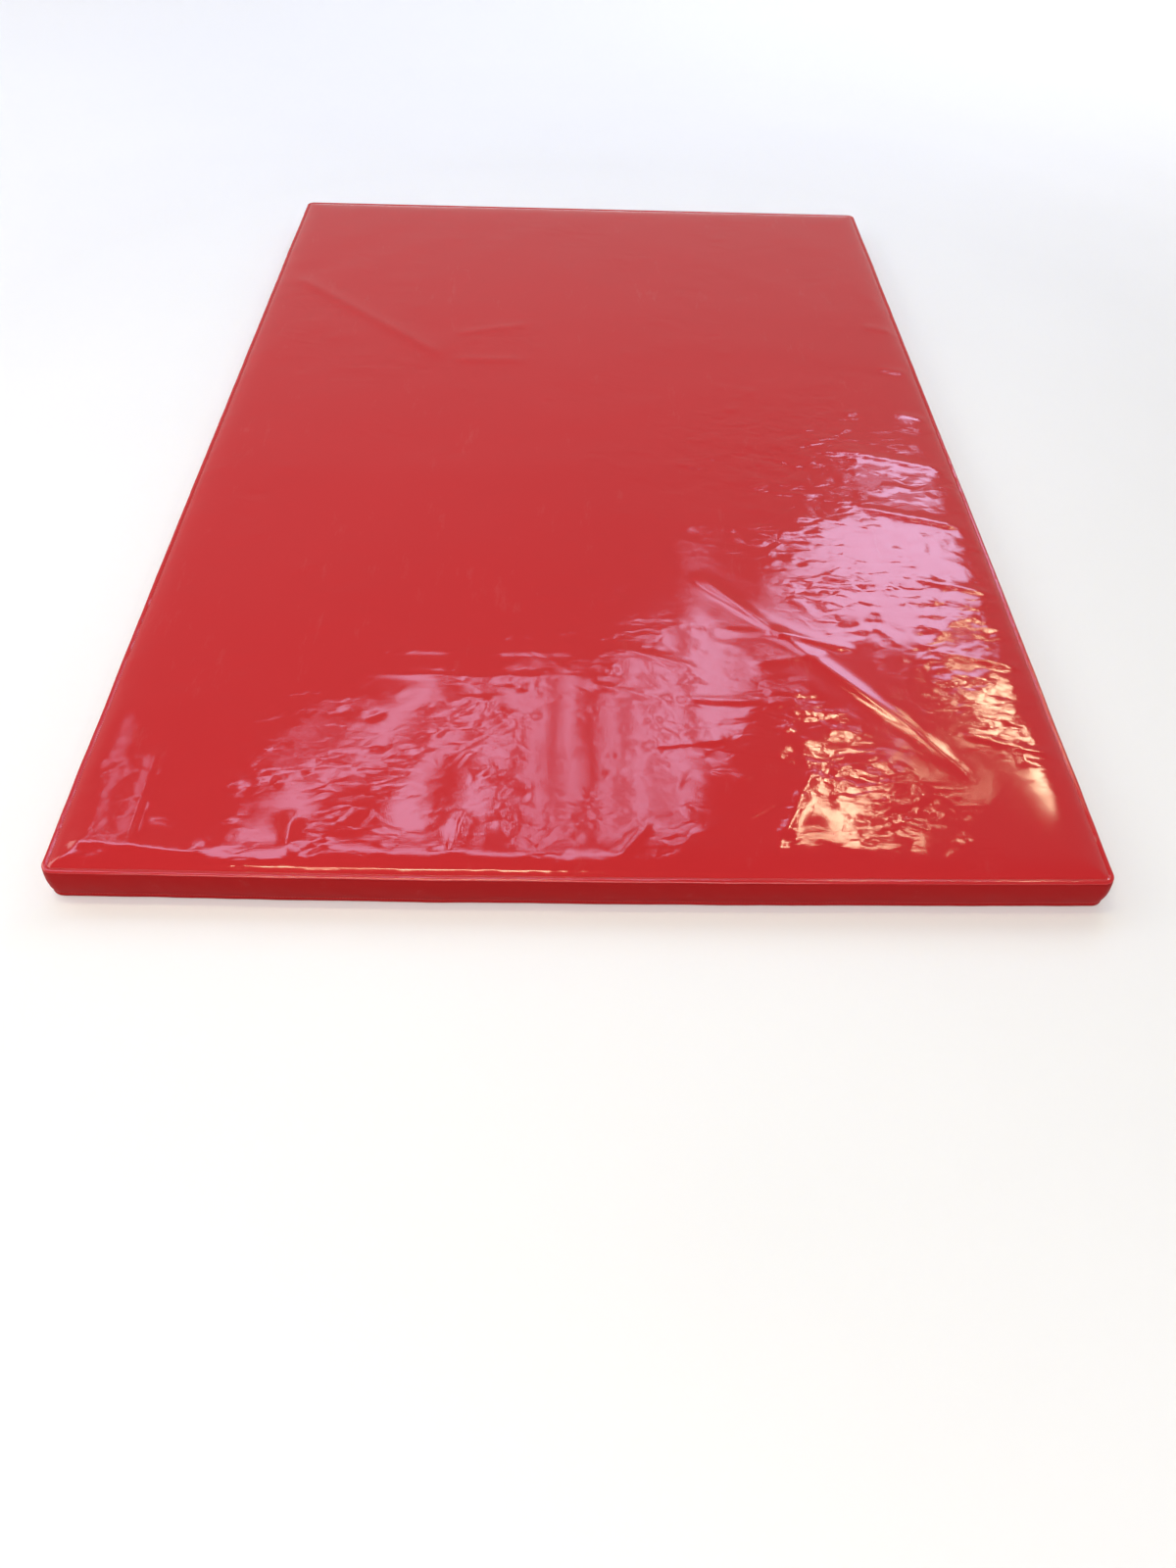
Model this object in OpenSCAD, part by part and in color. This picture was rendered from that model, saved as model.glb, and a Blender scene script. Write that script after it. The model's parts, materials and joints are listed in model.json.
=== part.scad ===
// Landing mat: foam layers in a stitched cover of coated fabric, closed by a zip at the back.
// X runs across the mat, Y along it with the zip at +Y, and Z is up from the floor.

/* [Mat] */
// Width of the mat, its short side
mat_w = 1220; // [900:10:1500]
// Length of the mat
mat_l = 1830; // [1200:10:2400]
// Thickness of the mat over its cover
mat_h = 50; // [46:1:80]
// Radius of the mat's corners, seen from above
corner_r = 14; // [12:1:30]

/* [Cover] */
// Thickness of the coated fabric
sheet_t = 0.7; // [0.5:0.1:0.9]
// Width of the fabric turned in behind a seam
turn_in = 10; // [8:1:10]
// Distance of the top stitch row from the mat's edge
top_row_in = 6; // [4:0.5:7]
// Height of the base stitch row above the floor
base_row_up = 8; // [6:0.5:8]
// Width of the stitch rows
thread_w = 0.6; // [0.4:0.1:0.8]

/* [Foam] */
// Thickness of the firm landing layer
landing_t = 12; // [8:1:18]
// Clearance between the foam and the cover
foam_gap = 0.4; // [0.2:0.1:1]

/* [Zip] */
// Distance from the mat's side to each end of the zip gusset
gusset_in = 50; // [40:5:120]
// Height of the gap between the zip facings
zip_gap = 16; // [15:0.5:18]
// Width of one zip tape
tape_w = 19; // [16:0.5:19]
// Width of the closed chain of both coils
chain_w = 10; // [8:0.5:10]
// Height of the coils above their tapes
coil_h = 2.4; // [1.8:0.1:2.6]
// Length of the pull tab, from its pin to its tip
tab_l = 38; // [25:1:50]

/* [Hidden] */
$fn = 48;

// Colours
VINYL = [0.76, 0.09, 0.10];
THREAD = [0.82, 0.20, 0.18];
CORE_FOAM = [0.36, 0.38, 0.42];
LANDING_FOAM = [0.92, 0.92, 0.88];
ZIP_TAPE = [0.07, 0.07, 0.08];
ZIP_METAL = [0.70, 0.71, 0.73];

// Cover
row_depth = sheet_t / 2;                    // a stitch row sinks half way into the fabric
back_y = mat_l / 2;                         // outer face of the back border
lap = 12;                                   // the border strip's ends lap over the gusset
join_row_gap = 6;                           // between the two stitch rows of a lap
gusset_half = mat_w / 2 - gusset_in;        // the gusset's half length
window_half = gusset_half - lap;            // what shows of it
facing_y = back_y - sheet_t;                // outer face of the zip facings
hem_h = min(6, mat_h / 2 - zip_gap / 2 - turn_in - 0.5);
zip_row_off = zip_gap / 2 + 3;              // from the zip's middle to each of its stitch rows

// Foam
foam_in = 3 * sheet_t + foam_gap;
foam_top = mat_h - sheet_t;
seam_z = mat_h - 3 * sheet_t;               // underside of the fabric turned in at the top seam

// Zip
zip_z = mat_h / 2;
tape_t = 0.6;
tape_y = back_y - 3 * sheet_t;              // outer face of the tapes
mid_gap = 1.2;                              // between the two halves of the zip
stop_gap = 8;                               // from the gusset's showing end to the coils
zip_half = window_half - stop_gap;          // half length of the coils
coil_bevel = 0.7;
stop_proud = 0.5;                           // the stops stand higher than the coils

// Slider, measured from the middle of the chain at the tapes' outer face
slider_nose = 9;
slider_tail = 8.5;
slider_play = 0.5;                          // left between the slider and each stop
plate_t = 1.3;
tape_clear = 0.35;
coil_clear = 0.3;
flange_t = 1.2;
slider_half_w = chain_w / 2 + 0.4 + flange_t;
plate_y = coil_h + coil_clear;              // inner face of the outer plate
slider_top = plate_y + plate_t;
back_plate_y = -tape_t - tape_clear - plate_t;
web_w = mid_gap - 0.4;
web_l = 6;
lug_r = 1.75;
lug_w = 3;
slider_x = -zip_half + slider_nose + slider_play;

// Pull tab
pin_r = 0.9;
pin_clear = 0.1;
pin_y = slider_top + lug_r;
arm_w = 1.6;
arm_gap = 0.3;                              // between the lug and each arm
tab_t = 1.6;
tab_w = 11;
tab_root = 5;                               // from the pin to the solid part of the tab

foam_back_in = foam_in - foam_gap + tape_t + tape_clear + plate_t + 0.4;

// Outline of the mat, drawn in by a distance all round
module outline(inset) {
    r = corner_r - min(inset, corner_r - 1);
    w = mat_w - 2 * inset;
    l = mat_l - 2 * inset;
    square([w - 2 * r, l], center = true);
    square([w, l - 2 * r], center = true);
    for (sx = [-1, 1], sy = [-1, 1])
        translate([sx * (w / 2 - r), sy * (l / 2 - r)])
            circle(r);
}

// Strip that runs round the mat between two insets
module ring(outer, inner, z, h) {
    translate([0, 0, z])
        linear_extrude(h)
            difference() {
                outline(outer);
                outline(inner);
            }
}

// Space over the gusset, cut from what runs round the back
module back_window(half) {
    translate([-half, back_y - turn_in - 2, -1])
        cube([2 * half, turn_in + 4, mat_h + 2]);
}

// Bar along the back border, from its outer face inward
module back_bar(half, outer_y, depth, z, h) {
    translate([-half, outer_y - depth, z])
        cube([2 * half, depth, h]);
}

module top_panel() {
    color(VINYL)
        difference() {
            union() {
                translate([0, 0, mat_h - sheet_t])
                    linear_extrude(sheet_t)
                        outline(0);
                ring(sheet_t, turn_in, mat_h - 2 * sheet_t, sheet_t);
            }
            ring(top_row_in, top_row_in + thread_w, mat_h - row_depth, row_depth + 1);
        }
}

module base_panel() {
    color(VINYL) {
        linear_extrude(sheet_t)
            outline(0);
        ring(2 * sheet_t, 3 * sheet_t, 0, turn_in);
    }
}

// The base stitch row's place on the border strip and on the gusset
module base_row_around() {
    difference() {
        ring(0, row_depth, base_row_up - thread_w / 2, thread_w);
        back_window(window_half);
    }
}

module base_row_back() {
    back_bar(window_half, facing_y, row_depth, base_row_up - thread_w / 2, thread_w);
}

// Two upright rows that sew one end of the border strip to the gusset
module join_rows(side) {
    for (row = [0, 1])
        translate([
            side * (window_half + (lap - join_row_gap) / 2 + row * join_row_gap) - thread_w / 2,
            back_y - row_depth,
            turn_in + 2
        ])
            cube([thread_w, row_depth, mat_h - 2 * turn_in]);
}

module border_strip() {
    color(VINYL)
        difference() {
            union() {
                difference() {
                    ring(0, sheet_t, sheet_t, mat_h - 2 * sheet_t);
                    back_window(window_half);
                }
                difference() {
                    union() {
                        ring(sheet_t, 2 * sheet_t, sheet_t, turn_in - sheet_t);
                        ring(sheet_t, turn_in, seam_z, sheet_t);
                    }
                    back_window(gusset_half);
                }
            }
            base_row_around();
            join_rows(-1);
            join_rows(1);
        }
}

module foam_core() {
    color(CORE_FOAM)
        difference() {
            translate([0, 0, sheet_t])
                linear_extrude(foam_top - landing_t - sheet_t)
                    outline(foam_in);
            foam_back_cut();
        }
}

module foam_landing_layer() {
    color(LANDING_FOAM)
        difference() {
            union() {
                translate([0, 0, foam_top - landing_t])
                    linear_extrude(seam_z - foam_top + landing_t)
                        outline(foam_in);
                translate([0, 0, seam_z])
                    linear_extrude(foam_top - seam_z)
                        outline(turn_in + foam_gap);
            }
            foam_back_cut();
        }
}

// The foam stops short at the back, where the slider's back plate runs
module foam_back_cut() {
    translate([-mat_w / 2, back_y - foam_back_in, -1])
        cube([mat_w, foam_back_in + 1, mat_h + 2]);
}

module zip_row(side) {
    back_bar(window_half, facing_y, row_depth, zip_z + side * zip_row_off - thread_w / 2, thread_w);
}

module zip_facing_upper() {
    bottom = zip_z + zip_gap / 2;
    color(VINYL)
        difference() {
            union() {
                back_bar(gusset_half, facing_y, sheet_t, bottom, seam_z + sheet_t - bottom);
                back_bar(gusset_half, facing_y, turn_in - sheet_t, seam_z, sheet_t);
                back_bar(gusset_half, facing_y, 2 * sheet_t, bottom, hem_h);
            }
            zip_row(1);
        }
}

module zip_facing_lower() {
    top = zip_z - zip_gap / 2;
    color(VINYL)
        difference() {
            union() {
                back_bar(gusset_half, facing_y, sheet_t, sheet_t, top - sheet_t);
                back_bar(gusset_half, facing_y, 2 * sheet_t, top - hem_h, hem_h);
            }
            zip_row(-1);
            base_row_back();
        }
}

// Places its children at the middle of the zip; side is 1 for the upper half and -1 for the lower
module zip_half_frame(side) {
    translate([0, tape_y, zip_z])
        mirror([0, 0, side > 0 ? 0 : 1])
            children();
}

module zip_tape(side) {
    color(ZIP_TAPE)
        zip_half_frame(side)
            translate([-gusset_half + 1, -tape_t, mid_gap / 2])
                cube([2 * gusset_half - 2, tape_t, tape_w - mid_gap / 2]);
}

module zip_coil(side) {
    inner = mid_gap / 2;
    outer = chain_w / 2;
    color(ZIP_TAPE)
        zip_half_frame(side)
            translate([-zip_half, 0, 0])
                rotate([90, 0, 90])
                    linear_extrude(2 * zip_half)
                        polygon([
                            [0, inner], [coil_h - coil_bevel, inner], [coil_h, inner + coil_bevel],
                            [coil_h, outer - coil_bevel], [coil_h - coil_bevel, outer], [0, outer]
                        ]);
}

module zip_top_stops() {
    color(ZIP_METAL)
        for (side = [-1, 1])
            zip_half_frame(side)
                translate([-zip_half - 3, 0, mid_gap / 2])
                    cube([3, coil_h + stop_proud, chain_w / 2 - mid_gap / 2 + 0.4]);
}

module zip_bottom_stop() {
    color(ZIP_METAL)
        translate([zip_half, tape_y, zip_z - chain_w / 2 - 0.6])
            cube([4, coil_h + stop_proud, chain_w + 1.2]);
}

// Outline of the slider's plates, wide at the nose where the coils part
module slider_outline() {
    w = slider_half_w;
    polygon([
        [-slider_nose, -w + 1.5], [-slider_nose + 1.5, -w], [slider_tail - 2, -w], [slider_tail, -w + 2],
        [slider_tail, w - 2], [slider_tail - 2, w], [-slider_nose + 1.5, w], [-slider_nose, w - 1.5]
    ]);
}

module slider_plate(y) {
    translate([0, y + plate_t, 0])
        rotate([90, 0, 0])
            linear_extrude(plate_t)
                slider_outline();
}

module zip_slider() {
    flange_l = slider_nose + slider_tail - 3.5;
    color(ZIP_METAL)
        translate([slider_x, tape_y, zip_z])
            difference() {
                union() {
                    slider_plate(plate_y);
                    slider_plate(back_plate_y);
                    translate([-slider_nose + 1.5, back_plate_y, -web_w / 2])
                        cube([web_l, slider_top - back_plate_y, web_w]);
                    for (side = [-1, 1])
                        translate([
                            -slider_nose + 1.5, tape_clear,
                            side * (slider_half_w - flange_t / 2) - flange_t / 2
                        ])
                            cube([flange_l, slider_top - tape_clear, flange_t]);
                    translate([-lug_r, slider_top - 0.1, -lug_w / 2])
                        cube([2 * lug_r, lug_r + 0.1, lug_w]);
                    translate([0, pin_y, -lug_w / 2])
                        cylinder(r = lug_r, h = lug_w);
                }
                translate([0, pin_y, -lug_w / 2 - 1])
                    cylinder(r = pin_r + pin_clear, h = lug_w + 2);
            }
}

module zip_pull_tab() {
    arm_z = lug_w / 2 + arm_gap;
    pin_half = arm_z + arm_w;
    color(ZIP_METAL)
        translate([slider_x, tape_y + pin_y, zip_z]) {
            translate([0, 0, -pin_half])
                cylinder(r = pin_r, h = 2 * pin_half);
            for (side = [-1, 1])
                translate([-pin_r, -tab_t / 2, side * (arm_z + arm_w / 2) - arm_w / 2])
                    cube([tab_root + 2 * pin_r, tab_t, arm_w]);
            translate([0, tab_t / 2, 0])
                rotate([90, 0, 0])
                    linear_extrude(tab_t) {
                        translate([tab_root, -tab_w / 2])
                            square([tab_l - tab_root - tab_w / 2, tab_w]);
                        translate([tab_l - tab_w / 2, 0])
                            circle(tab_w / 2);
                    }
        }
}

module top_stitching() {
    color(THREAD)
        ring(top_row_in, top_row_in + thread_w, mat_h - row_depth, row_depth);
}

module base_stitching() {
    color(THREAD) {
        base_row_around();
        base_row_back();
    }
}

module zip_stitching(side) {
    color(THREAD)
        zip_row(side);
}

module join_stitching(side) {
    color(THREAD)
        join_rows(side);
}

top_panel();
base_panel();
border_strip();
foam_core();
foam_landing_layer();
zip_facing_upper();
zip_facing_lower();
zip_tape(1);  // zip_tape_upper
zip_tape(-1);  // zip_tape_lower
zip_coil(1);  // zip_coil_upper
zip_coil(-1);  // zip_coil_lower
zip_top_stops();
zip_bottom_stop();
zip_slider();
zip_pull_tab();
top_stitching();
base_stitching();
zip_stitching(1);  // zip_stitching_upper
zip_stitching(-1);  // zip_stitching_lower
join_stitching(-1);  // join_stitching_left
join_stitching(1);  // join_stitching_right
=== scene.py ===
"""The landing mat's looks: a glossy stitched vinyl cover over foam, with its zip, on a pale floor.

Lengths are in millimetres in the tables and the shape functions, and in metres once a mesh is made.
"""

import json
import math

import bmesh
import bpy
import numpy as np
from mathutils import Matrix, Vector

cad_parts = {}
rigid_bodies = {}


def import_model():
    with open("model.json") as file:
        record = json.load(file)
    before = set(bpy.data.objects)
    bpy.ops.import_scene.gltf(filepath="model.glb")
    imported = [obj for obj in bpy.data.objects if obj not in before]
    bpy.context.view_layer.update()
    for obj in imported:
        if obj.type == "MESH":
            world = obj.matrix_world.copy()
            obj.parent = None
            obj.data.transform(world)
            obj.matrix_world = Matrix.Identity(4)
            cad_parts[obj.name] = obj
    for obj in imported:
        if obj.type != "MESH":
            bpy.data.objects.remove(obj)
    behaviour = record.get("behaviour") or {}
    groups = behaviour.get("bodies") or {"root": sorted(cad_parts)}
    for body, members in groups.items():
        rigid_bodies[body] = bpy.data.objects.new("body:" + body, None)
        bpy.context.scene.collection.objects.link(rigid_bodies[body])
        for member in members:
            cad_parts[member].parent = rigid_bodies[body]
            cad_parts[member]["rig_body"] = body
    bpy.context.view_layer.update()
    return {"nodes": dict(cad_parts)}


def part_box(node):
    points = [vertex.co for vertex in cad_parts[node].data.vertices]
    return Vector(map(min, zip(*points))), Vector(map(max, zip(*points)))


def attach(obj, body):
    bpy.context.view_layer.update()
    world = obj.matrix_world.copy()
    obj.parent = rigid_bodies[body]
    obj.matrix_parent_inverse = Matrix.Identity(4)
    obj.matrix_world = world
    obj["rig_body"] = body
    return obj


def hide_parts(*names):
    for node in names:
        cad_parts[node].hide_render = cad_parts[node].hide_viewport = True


MM = 0.001
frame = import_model()

# ---------------------------------------------------------------- sizes, from the CAD frame

_, border_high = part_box("border_strip")
_, top_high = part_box("top_panel")
HALF_W, HALF_L, MAT_H = border_high.x / MM, border_high.y / MM, top_high.z / MM
CORNER = 14.0
FACING_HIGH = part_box("zip_facing_upper")[1]
GUSSET_HALF = FACING_HIGH.x / MM
WINDOW_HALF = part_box("zip_stitching_upper")[1].x / MM
FACING_Y = FACING_HIGH.y / MM
TAPE_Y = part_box("zip_tape_upper")[1].y / MM
SHEET = 0.7  # thickness of the coated fabric
STITCH = 3.4  # from one stitch to the next
COIL_PITCH = 1.5
HEM = 9.0  # the top panel's edge that is sewn down and can't buckle

# Section of the top panel at its edge: a run of (position in, inset, height) from the seam inward
TOP_EDGE = [
    (0.0, 0.7, 44.4), (0.6, 0.15, 45.0), (1.1, 0.0, 45.6), (1.6, 0.3, 46.15), (2.2, 1.1, 46.5),
    (3.2, 2.6, 46.62), (4.2, 4.0, 46.6), (5.2, 5.1, 46.4), (5.8, 5.7, 46.1), (6.3, 6.3, 46.0),
    (6.8, 6.9, 46.15), (7.6, 7.8, 46.6), (9.0, 9.0, 47.05),
]
# Section of the border from the top seam down: (outward, height)
BORDER_OUT = [
    (-0.8, 44.5), (-0.2, 44.2), (0.2, 43.6), (0.55, 42.4), (1.1, 40.0), (1.8, 36.0), (2.3, 31.0),
    (2.5, 26.0), (2.4, 21.0), (2.0, 16.0), (1.5, 12.5), (1.1, 10.2), (0.7, 9.0), (0.3, 8.4),
    (0.2, 8.0), (0.35, 7.6), (0.8, 7.0), (1.1, 5.8), (1.1, 4.2), (0.7, 2.9), (0.0, 1.9),
    (-1.0, 1.2), (-2.0, 0.9),
]
TOP_ROW = (6.3, 46.0)  # inset from the edge, height
BASE_ROW = (0.25, 8.0)  # outward from the edge, height


def smooth(t):
    t = np.clip(t, 0.0, 1.0)
    return t * t * (3 - 2 * t)


def noise(x, y, seed):
    """Smooth gradient noise from about -0.7 to 0.7, with one bump per unit."""
    turn = np.random.default_rng(seed).uniform(0, 2 * math.pi, (256, 256))
    x, y = np.broadcast_arrays(np.asarray(x, float), np.asarray(y, float))
    xi, yi = np.floor(x).astype(int), np.floor(y).astype(int)
    fx, fy = x - xi, y - yi

    def corner(i, j):
        a = turn[(xi + i) % 256, (yi + j) % 256]
        return np.cos(a) * (fx - i) + np.sin(a) * (fy - j)

    u, v = fx**3 * (fx * (fx * 6 - 15) + 10), fy**3 * (fy * (fy * 6 - 15) + 10)
    low = corner(0, 0) * (1 - u) + corner(1, 0) * u
    high = corner(0, 1) * (1 - u) + corner(1, 1) * u
    return low * (1 - v) + high * v


# ---------------------------------------------------------------- the cover's relief


def place(u, v):
    """A point of the top panel, from parts of its half width and half length."""
    return u * HALF_W, v * HALF_L


# The longest fold, and the one that carries it on towards the front right corner
RIDGE = [place(0.25, -0.4), place(0.7, -0.75)]
RIDGE_TAIL = [place(0.65, -0.7), place(0.8, -0.85)]
# Beside this line, the ridge and its run to the corner, the vinyl is pulled smooth
CALM_LINE = [*RIDGE, RIDGE_TAIL[1], place(1.05, -1.05)]
NEAR_SEAM = 0.98  # how far out a fold reaches, in parts of the half width or half length


def long_folds():
    """Folds of the top panel: path, height, width to the left and right of it, fade at its ends, crest."""
    folds = [
        (RIDGE, 1.1, 8, 5.5, 50, 4),
        (RIDGE_TAIL, 0.6, 7, 9, 50, 2.5),
        ([place(-0.95, 0.6), place(-0.4, 0.25)], 1.7, 16, 9, 60, 3),
        ([place(-0.4, 0.35), place(-0.15, 0.4)], 1.0, 9, 7, 30, 2),
        ([place(-0.4, 0.25), place(-0.15, 0.25)], 1.0, 9, 6, 30, 2),
        ([place(-0.5, -0.65), place(0.15, -0.65)], 0.22, 3, 3, 25, 1),
        ([place(-0.5, -0.6), place(0, -0.6)], 0.2, 12, 3, 40, 1),
        ([place(-0.98, -0.95), place(-0.7, -0.97)], 1.5, 12, 7, 25, 2.5),
        ([place(-0.97, -0.87), place(-0.97, -0.7)], 0.8, 6, 6, 30, 1.5),
    ]
    rng = np.random.default_rng(12)
    # in from the right edge, from the back to the front: each one's reach, then its shape
    short, long, low = (0.1, 1.2, 7, 5, 15, 1), (0.3, 1.8, 14, 6, 40, 2), (0.2, 1.0, 9, 6, 25, 1.5)
    for n, (reach, *shape) in enumerate([short] * 3 + [long] * 2 + [low] * 3):
        v = 0.4 - 0.17 * n
        folds.append(([place(NEAR_SEAM - reach, v + 0.2 * reach), place(NEAR_SEAM, v)], *shape))
    # in from the front seam, from left to right
    for n in range(5):
        lean, length = rng.uniform(-0.05, 0.15), rng.uniform(0.06, 0.2)
        u = -0.85 + 0.3 * n
        folds.append(([place(u, -NEAR_SEAM), place(u + lean, -NEAR_SEAM + length)], 1.0, 10, 7, 25, 1.5))
    # across the front right, where the vinyl is most creased
    for _ in range(7):
        u, v = rng.uniform(0, 0.45), rng.uniform(-0.85, -0.5)
        rise = rng.uniform(-0.05, 0.05)
        folds.append(([place(u, v), place(u + 0.2, v + rise)], rng.uniform(0.5, 0.9), 7, 5, 25, 1.5))
    return folds


def along(x, y, path):
    """Where points lie beside a path: distance to its left (negative to its right) and way along it."""
    best = np.full(x.shape, 1e9)
    left, way, passed = np.zeros(x.shape), np.zeros(x.shape), 0.0
    for (ax, ay), (bx, by) in zip(path, path[1:]):
        length = math.hypot(bx - ax, by - ay)
        ux, uy = (bx - ax) / length, (by - ay) / length
        t = np.clip((x - ax) * ux + (y - ay) * uy, 0, length)
        dx, dy = x - ax - t * ux, y - ay - t * uy
        far = np.hypot(dx, dy)
        near = far < best
        best = np.where(near, far, best)
        left = np.where(near, np.sign(ux * dy - uy * dx) * far, left)
        way = np.where(near, passed + t, way)
        passed += length
    return left, way, passed


def fold(x, y, path, height, left, right, fade, crest):
    side, way, length = along(x, y, path)
    width = np.where(side > 0, left, right)
    away = np.sqrt(side**2 + crest**2) - crest
    ends = smooth(np.minimum(way, length - way) / fade)
    return height * np.exp(-away / width) * ends


def crumple(x, y):
    """How creased the vinyl is, from 0 to 1: most at the front and the right."""
    right = 0.5 * smooth((x - 60) / 330) * smooth((320 - y) / 500)
    right += 0.05 * smooth((x - 190) / 120) * smooth((-540 - y) / 110)
    front = 0.13 * smooth((-350 - y) / 350)
    side, _, _ = along(x, y, CALM_LINE)
    calm = 0.92 * np.exp(-((np.abs(side - 4) / 62) ** 4))
    return np.clip(0.18 + 0.82 * np.maximum(right, front), 0, 1) * (1 - calm)


def relief(x, y, xs, ys):
    """Height of the creases and dents in the top panel, in millimetres, on the grid of xs and ys."""
    weight = crumple(x, y)
    wander = 12 * noise(x / 45, y / 45, 8)
    h = 0.9 * noise(x / 320, y / 320, 1) + 0.3 * noise(x / 130, y / 130, 2)
    h += weight * 0.16 * noise((x + wander) / 70, (y + wander) / 48, 3)
    h += weight * 0.03 * noise(x / 34, (y + wander) / 22, 4)
    for path, *shape in long_folds():
        h += fold(x, y, path, *shape)
    return h + crinkles(x, y, xs, ys)


def crinkles(x, y, xs, ys, count=470):
    """Short sharp creases scattered over the panel, most of them across it."""
    rng = np.random.default_rng(21)
    h = np.zeros(x.shape)
    placed = 0
    while placed < count:
        cx, cy = rng.uniform(-HALF_W + 25, HALF_W - 25), rng.uniform(-HALF_L + 25, HALF_L - 25)
        if rng.uniform() > crumple(np.array([cx]), np.array([cy]))[0] ** 2.2:
            continue
        placed += 1
        turn = rng.normal(0, 0.45) + (0.9 if rng.uniform() < 0.25 else 0)
        half = rng.uniform(6, 26)
        dx, dy = half * math.cos(turn), half * math.sin(turn)
        bend = rng.normal(0, 0.22) * half
        middle = cx - bend * math.sin(turn), cy + bend * math.cos(turn)
        path = [(cx - dx, cy - dy), middle, (cx + dx, cy + dy)]
        height = rng.uniform(0.12, 0.5) * (1 if rng.uniform() < 0.6 else -1)
        left, right = rng.uniform(3, 12), rng.uniform(2, 5)
        reach = half + 40
        i0, i1 = np.searchsorted(xs, [cx - reach, cx + reach])
        j0, j1 = np.searchsorted(ys, [cy - reach, cy + reach])
        part = (slice(i0, i1), slice(j0, j1))
        h[part] += fold(x[part], y[part], path, height, left, right, half * 0.6, 0.6)
    return h


def spline(at, knots):
    """Weights that blend values at evenly spaced knots into a smooth curve through the points at."""
    t = np.abs((np.asarray(at)[:, None] - knots[None, :]) / (knots[1] - knots[0]))
    return np.where(t < 1, 2 / 3 - t**2 + t**3 / 2, np.where(t < 2, (2 - t) ** 3 / 6, 0))


def slack_cover(xs, ys, step=13.0, slack=0.006, frames=24):
    """Heights of the cover's spare fabric, sewn down all round, once it has buckled on the foam."""

    def grid_line(half):
        width = 2 * half - 2 * HEM
        return np.arange(-half + HEM, half - HEM + 0.1, width / round(width / step))

    gx, gy = grid_line(HALF_W), grid_line(HALF_L)
    x, y = np.meshgrid(gx, gy, indexing="ij")
    rng = np.random.default_rng(3)
    z = 0.6 + 0.4 * rng.random(x.shape)
    for path, height, left, right, *_ in long_folds():
        if height > 1.2:
            z += fold(x, y, path, height, left, right, 20, 4)
    sewn = np.zeros(x.shape, bool)
    sewn[[0, -1], :] = sewn[:, [0, -1]] = True
    z[sewn] = 0.6
    jitter = rng.uniform(-0.25, 0.25, (2, *x.shape)) * step * ~sewn
    k = np.arange(x.size).reshape(x.shape)
    quads = np.stack([k[:-1, :-1], k[1:, :-1], k[1:, 1:], k[:-1, 1:]], -1)
    odd = (np.add.outer(np.arange(len(gx) - 1), np.arange(len(gy) - 1)) % 2)[..., None, None] == 1
    one = np.stack([quads[..., [0, 1, 2]], quads[..., [0, 2, 3]]], 2)
    other = np.stack([quads[..., [0, 1, 3]], quads[..., [1, 2, 3]]], 2)
    triangles = np.where(odd, one, other).reshape(-1, 3)
    points = np.stack([x + jitter[0], y + jitter[1], z], -1).reshape(-1, 3) * MM

    def temporary(name, points, faces):
        mesh = bpy.data.meshes.new(name)
        mesh.from_pydata(points, [], faces)
        obj = bpy.data.objects.new(name, mesh)
        bpy.context.scene.collection.objects.link(obj)
        return obj

    cloth = temporary("cloth", points.tolist(), triangles.tolist())
    foam_top = temporary("foam_top", [(-1, -1.2, 0), (1, -1.2, 0), (1, 1.2, 0), (-1, 1.2, 0)], [[0, 1, 2, 3]])
    foam_top.modifiers.new("collision", "COLLISION")
    foam_top.collision.thickness_outer, foam_top.collision.thickness_inner = 0.0005, 0.002
    foam_top.collision.cloth_friction = 5
    cloth.vertex_groups.new(name="sewn").add(k[sewn].tolist(), 1.0, "REPLACE")
    modifier = cloth.modifiers.new("cloth", "CLOTH")
    s, c = modifier.settings, modifier.collision_settings
    s.quality, s.mass, s.air_damping = 5, 0.01, 1
    s.tension_stiffness, s.compression_stiffness, s.shear_stiffness, s.bending_stiffness = 30, 30, 15, 30
    s.vertex_group_mass, s.pin_stiffness = "sewn", 1
    s.shrink_min = -slack
    c.use_collision, c.distance_min, c.collision_quality = True, 0.0005, 1
    modifier.point_cache.frame_start, modifier.point_cache.frame_end = 1, frames
    scene = bpy.context.scene
    scene.frame_start, scene.frame_end = 1, frames
    for frame_number in range(1, frames + 1):
        scene.frame_set(frame_number)
    settled = cloth.evaluated_get(bpy.context.evaluated_depsgraph_get()).data
    height = np.empty(3 * x.size)
    settled.vertices.foreach_get("co", height)
    height = height[2::3].reshape(x.shape) / MM
    for obj in (cloth, foam_top):
        bpy.data.objects.remove(obj, do_unlink=True)
    scene.frame_set(1)
    return spline(xs, gx) @ (height - np.median(height)) @ spline(ys, gy).T


def warp(p):
    """The stuffed cover's plan shape: the front bows out, the sides a little, the zip's side not at all."""
    p = np.array(p, float)
    x, y = p[..., 0].copy(), p[..., 1].copy()
    front = smooth((-y - HALF_L + 220) / 220)
    side = smooth((np.abs(x) - HALF_W + 160) / 160)
    back = smooth((HALF_L - 60 - y) / 200)
    wave = 0.8 * noise(x / 110, 0.5, 5) + 0.5 * noise(x / 38, 0.5, 12)
    p[..., 1] -= front * (4.5 * (1 - (x / HALF_W) ** 2) + wave)
    wave = 1.0 * noise(y / 140, 0.5, 6) + 0.5 * noise(y / 42, 0.5, 13)
    p[..., 0] += np.sign(x) * side * back * (1.5 * (1 - (y / HALF_L) ** 2) + wave)
    return p


# ---------------------------------------------------------------- mesh helpers


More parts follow.
